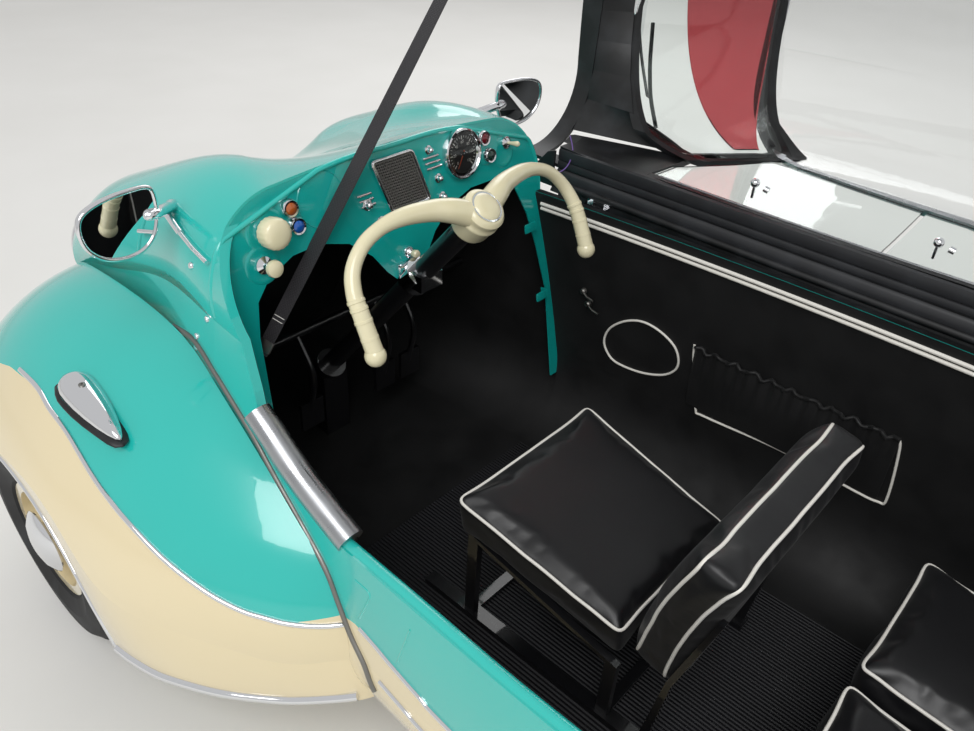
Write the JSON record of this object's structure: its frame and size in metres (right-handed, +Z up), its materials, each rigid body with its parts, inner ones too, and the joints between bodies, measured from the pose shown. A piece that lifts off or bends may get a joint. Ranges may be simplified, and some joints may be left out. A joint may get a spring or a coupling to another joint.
{
  "type": "three wheeled bubble car",
  "caption": "Narrow tandem seat bubble car with a side hinged canopy that stands open, fendered front wheels, a handlebar and a tapering tail.",
  "frame": {"origin": "on the ground under the middle of the front axle", "axes": "+Y runs to the rear along the car, +Z is up, +X is the car's left"},
  "size_m": [1.5024, 2.82, 1.5043],
  "materials": {
    "body_paint": "gloss turquoise paint",
    "cream_paint": "gloss cream paint",
    "dark_paint": "black paint under a rubber mat",
    "chrome_trim": "polished chrome",
    "polished_frame": "polished aluminium",
    "black_rubber": "satin black rubber and trim",
    "clear_dome": "clear acrylic",
    "window_glass": "clear safety glass",
    "red_visor": "tinted red acrylic",
    "black_steel": "black enamel",
    "ivory_plastic": "gloss ivory",
    "seat_vinyl": "black vinyl with white piping",
    "trim_vinyl": "black vinyl trim",
    "lamp_glass": "clear fluted glass",
    "red_lens": "red lens in a chrome foot",
    "rim_paint": "cream enamel",
    "tyre_rubber": "black tyre rubber",
    "engine_alloy": "sand cast alloy",
    "silencer_steel": "plain steel",
    "webbing": "black webbing"
  },
  "bodies": {
    "chassis": {"nose_shell": "body_paint", "left_wall": "body_paint", "right_wall": "body_paint", "floor_pan": "dark_paint", "rear_bulkhead": "trim_vinyl", "rear_deck": "body_paint", "tail_sides": "cream_paint", "fender_left": "body_paint", "fender_right": "body_paint", "canopy_hinges": "chrome_trim", "dash_panel": "body_paint", "speedometer": "chrome_trim", "dash_controls": "chrome_trim", "dash_grille": "chrome_trim", "column_clamp": "chrome_trim", "column_foot": "black_steel", "pedals": "black_steel", "seat_cushion": "seat_vinyl", "seat_back": "seat_vinyl", "seat_frame": "black_steel", "rear_cushion": "seat_vinyl", "rear_back": "seat_vinyl", "rear_seat_box": "black_steel", "headlamp_rims": "chrome_trim", "headlamp_lenses": "lamp_glass", "mirrors": "chrome_trim", "indicators": "chrome_trim", "sill_cover": "chrome_trim", "suspension_arms": "black_steel", "tail_frame": "black_steel", "engine_block": "engine_alloy", "rear_fork": "black_steel", "silencer": "silencer_steel", "check_strap": "webbing"},
    "canopy": {"canopy_base": "black_rubber", "dome": "clear_dome", "dome_frame": "polished_frame", "side_windows": "window_glass", "windscreen": "window_glass", "windscreen_frame": "black_rubber", "sun_visor": "red_visor", "wiper": "black_steel"},
    "tail_lid": {"tail_cover": "body_paint", "tail_lamps": "red_lens"},
    "handlebar": {"handlebar": "ivory_plastic", "steering_shaft": "black_steel"},
    "knuckle_left": {"knuckle_left": "black_steel"},
    "knuckle_right": {"knuckle_right": "black_steel"},
    "wheel_front_left": {"rim_front_left": "rim_paint", "tyre_front_left": "tyre_rubber"},
    "wheel_front_right": {"rim_front_right": "rim_paint", "tyre_front_right": "tyre_rubber"},
    "wheel_rear": {"rim_rear": "rim_paint", "tyre_rear": "tyre_rubber"}
  },
  "joints": [
    {"name": "canopy_hinge", "type": "hinge", "parent": "chassis", "child": "canopy", "pos_m": [-0.396, 0, 0.704], "axis": [0, 1, 0], "range_deg": [0, 90], "deforming": ["check_strap"]},
    {"name": "tail_lid_hinge", "type": "hinge", "parent": "chassis", "child": "tail_lid", "pos_m": [0, 2.318, 0.3], "axis": [-1, 0, 0], "range_deg": [0, 60]},
    {"name": "steering", "type": "hinge", "parent": "chassis", "child": "handlebar", "pos_m": [0, 0.457, 0.804], "axis": [0, 0.6427, 0.7661], "range_deg": [-30, 30]},
    {"name": "steer_left", "type": "hinge", "parent": "chassis", "child": "knuckle_left", "pos_m": [0.468, 0, 0.207], "axis": [0, 0, 1], "range_deg": [-27, 27]},
    {"name": "steer_right", "type": "hinge", "parent": "chassis", "child": "knuckle_right", "pos_m": [-0.468, 0, 0.207], "axis": [0, 0, 1], "range_deg": [-27, 27]},
    {"name": "spin_front_left", "type": "hinge", "parent": "knuckle_left", "child": "wheel_front_left", "pos_m": [0.54, 0, 0.207], "axis": [1, 0, 0], "continuous": true},
    {"name": "spin_front_right", "type": "hinge", "parent": "knuckle_right", "child": "wheel_front_right", "pos_m": [-0.54, 0, 0.207], "axis": [1, 0, 0], "continuous": true},
    {"name": "spin_rear", "type": "hinge", "parent": "chassis", "child": "wheel_rear", "pos_m": [0, 2.03, 0.207], "axis": [1, 0, 0], "continuous": true}
  ],
  "couplings": [
    {"joint": "steer_left", "follows": "steering", "ratio": 0.8667},
    {"joint": "steer_right", "follows": "steering", "ratio": 0.8667}
  ]
}
